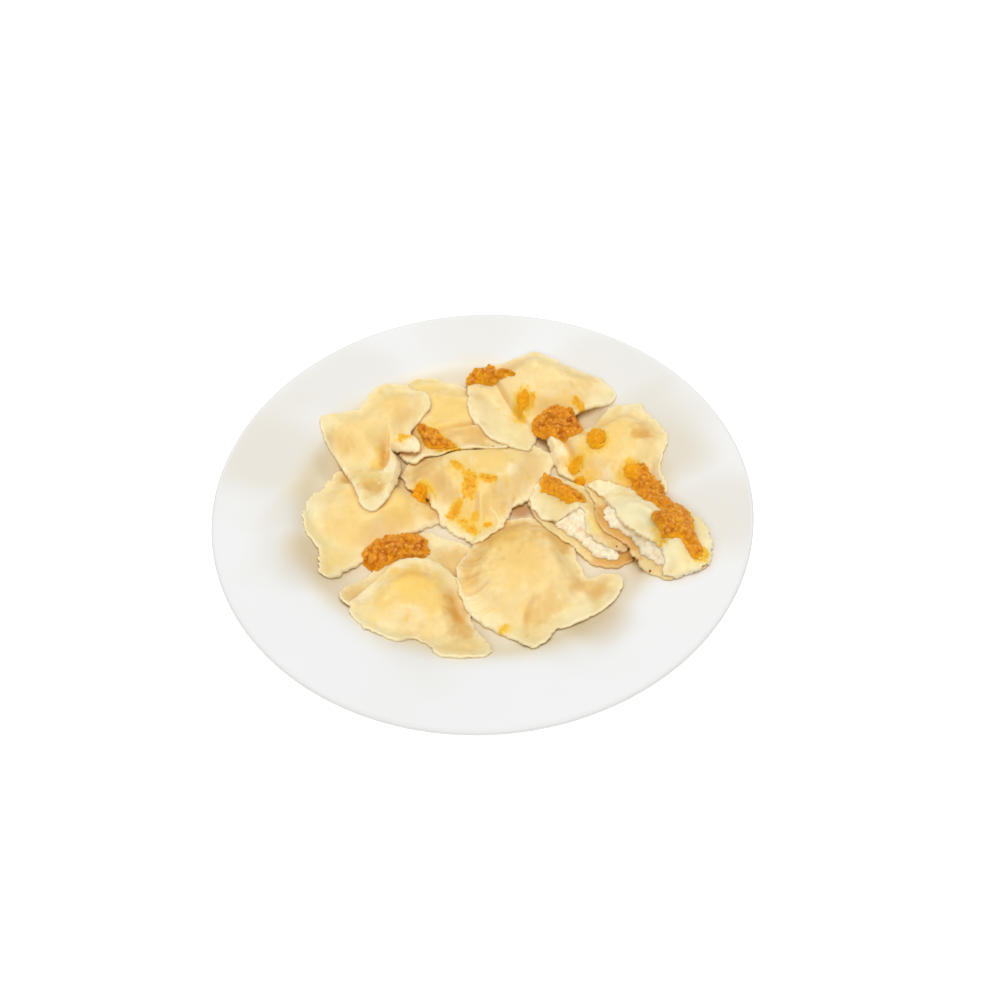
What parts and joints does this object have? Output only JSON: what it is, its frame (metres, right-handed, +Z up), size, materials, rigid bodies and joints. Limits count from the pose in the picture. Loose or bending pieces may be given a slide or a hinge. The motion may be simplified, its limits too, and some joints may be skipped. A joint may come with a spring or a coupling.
{
  "type": "plate of filled dumplings",
  "caption": "Deep white plate of boiled filled dumplings lying over one another, one cut in half, with chopped fried onion on top.",
  "frame": {"origin": "middle of the plate's foot, on the surface the plate stands on", "axes": "+Z up; -Y towards the person the plate is set before, +X to their right"},
  "size_m": [0.27, 0.27, 0.0375],
  "materials": {
    "porcelain": "white glazed porcelain, smooth and glossy",
    "dough": "boiled wheat dough, pale yellow, smooth, with a thin film of butter",
    "onion": "finely chopped onion fried golden brown, moist with fat",
    "filling": "pale pinkish crumbly filling seen at the cuts",
    "butter": "melted butter and frying fat, a clear yellow film"
  },
  "bodies": {
    "root": {"plate": "porcelain", "dumpling_left": "dough", "dumpling_low_front": "dough", "dumpling_front_left": "dough", "dumpling_front": "dough", "dumpling_right": "dough", "dumpling_middle": "dough", "dumpling_back_left": "dough", "dumpling_half_left": "dough", "dumpling_half_right": "dough", "dumpling_back": "dough", "dumpling_top_left": "dough", "onion_back": "onion", "onion_right": "onion", "onion_left": "onion", "onion_crease": "onion", "onion_dab": "onion", "onion_low_right": "onion", "onion_half_right": "onion", "onion_half_left": "onion"}
  },
  "joints": []
}
